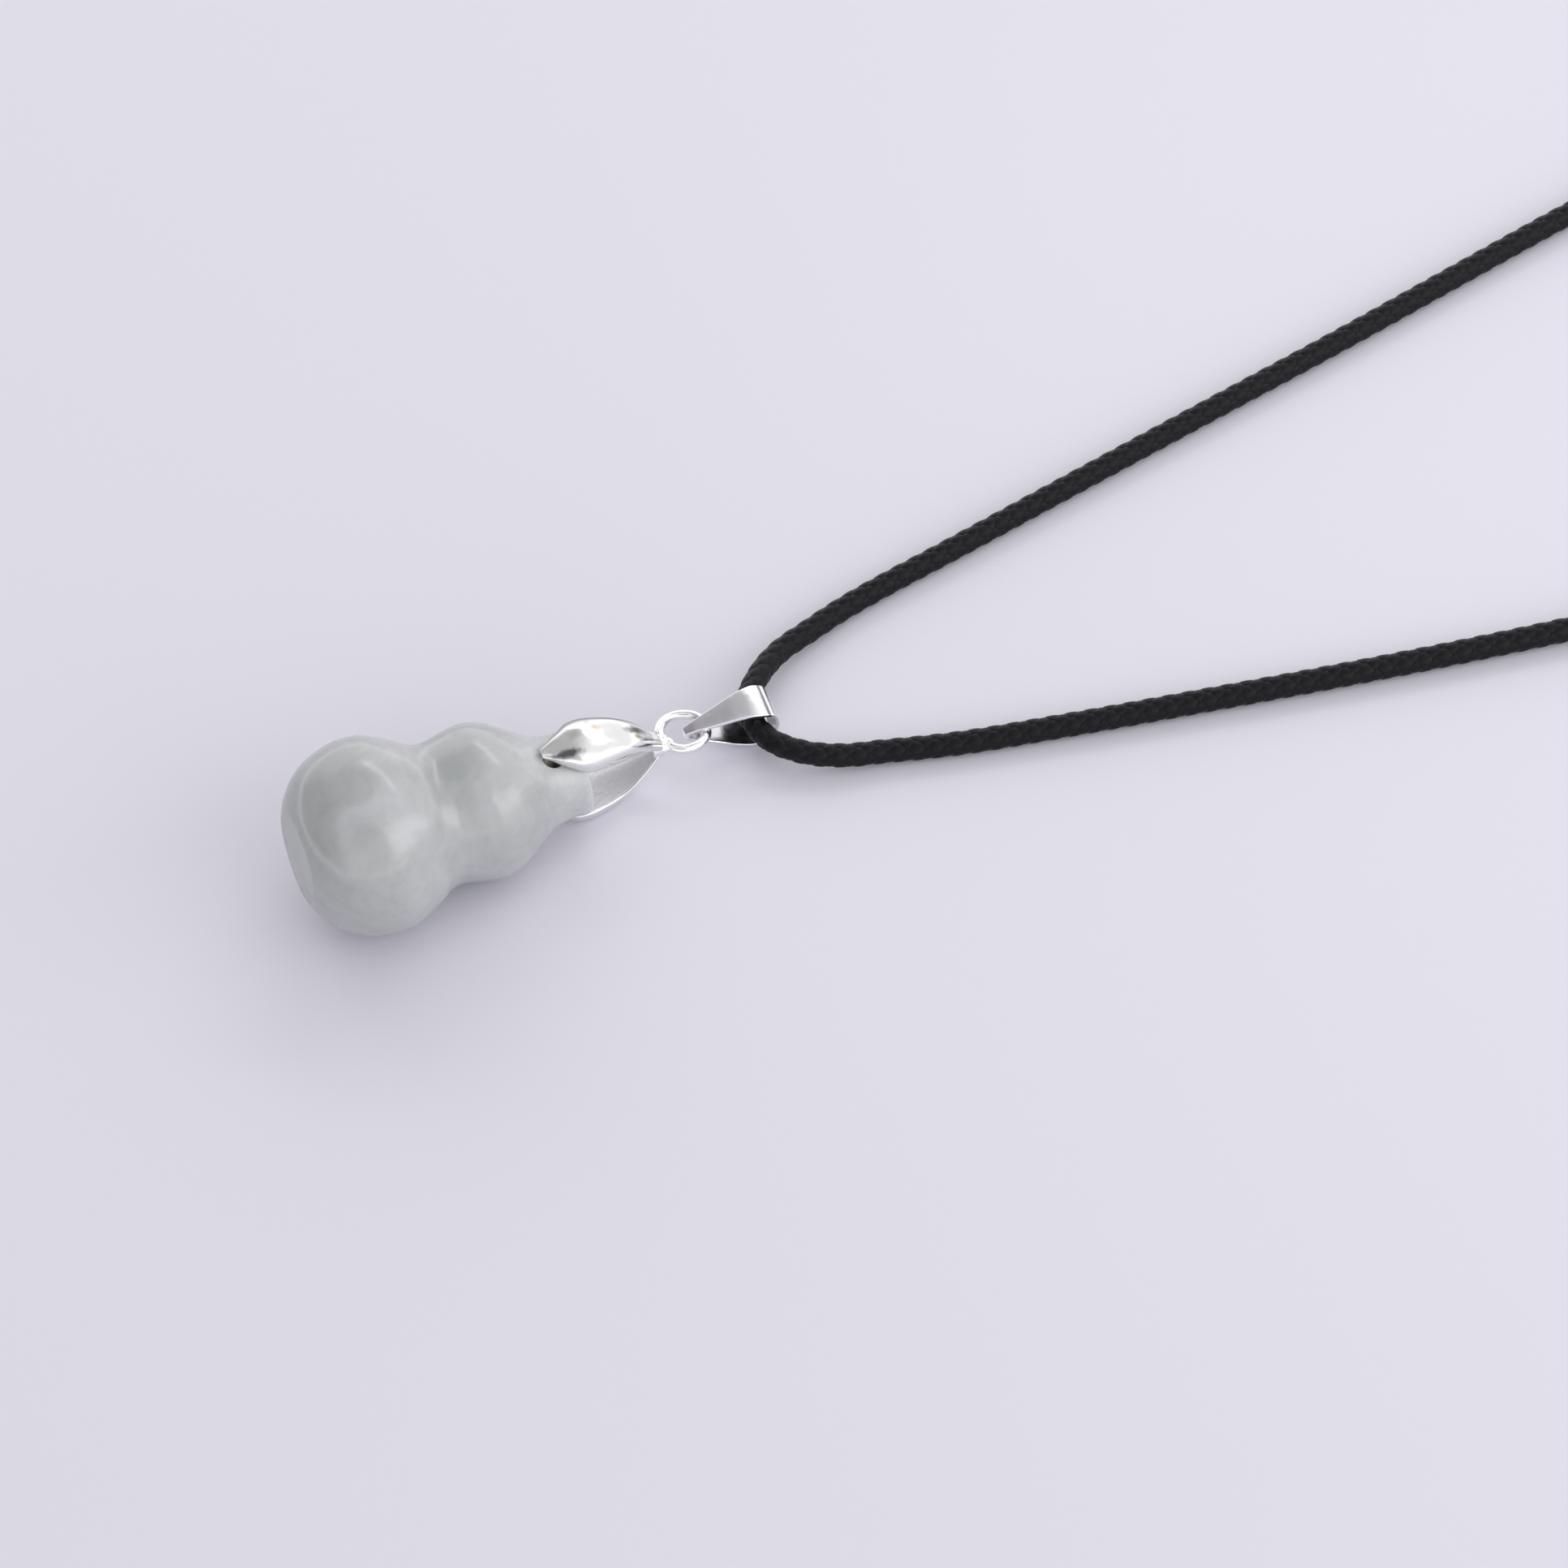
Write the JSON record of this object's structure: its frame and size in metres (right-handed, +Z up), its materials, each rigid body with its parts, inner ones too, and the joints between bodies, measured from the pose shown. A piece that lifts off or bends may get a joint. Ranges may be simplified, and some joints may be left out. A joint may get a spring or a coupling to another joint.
{
  "type": "jade gourd pendant necklace",
  "caption": "Carved jade gourd held by a silver pinch bail, with a ring and a folded bail that hang it on a braided neck cord with a barrel clasp.",
  "frame": {"origin": "on the surface that the necklace lies on, under the middle of the pendant", "axes": "+X from the gourd's flat base along the pendant towards the cord, +Z up"},
  "size_m": [0.2028, 0.0569, 0.016],
  "materials": {
    "jade": "polished, translucent, pale grey-green",
    "silver": "polished silver with light tarnish",
    "cord": "black waxed round braid",
    "steel": "satin"
  },
  "bodies": {
    "root": {"jade_gourd": "jade", "pinch_bail": "silver", "cord_bail": "silver", "neck_cord": "cord", "clasp": "steel"}
  },
  "joints": []
}
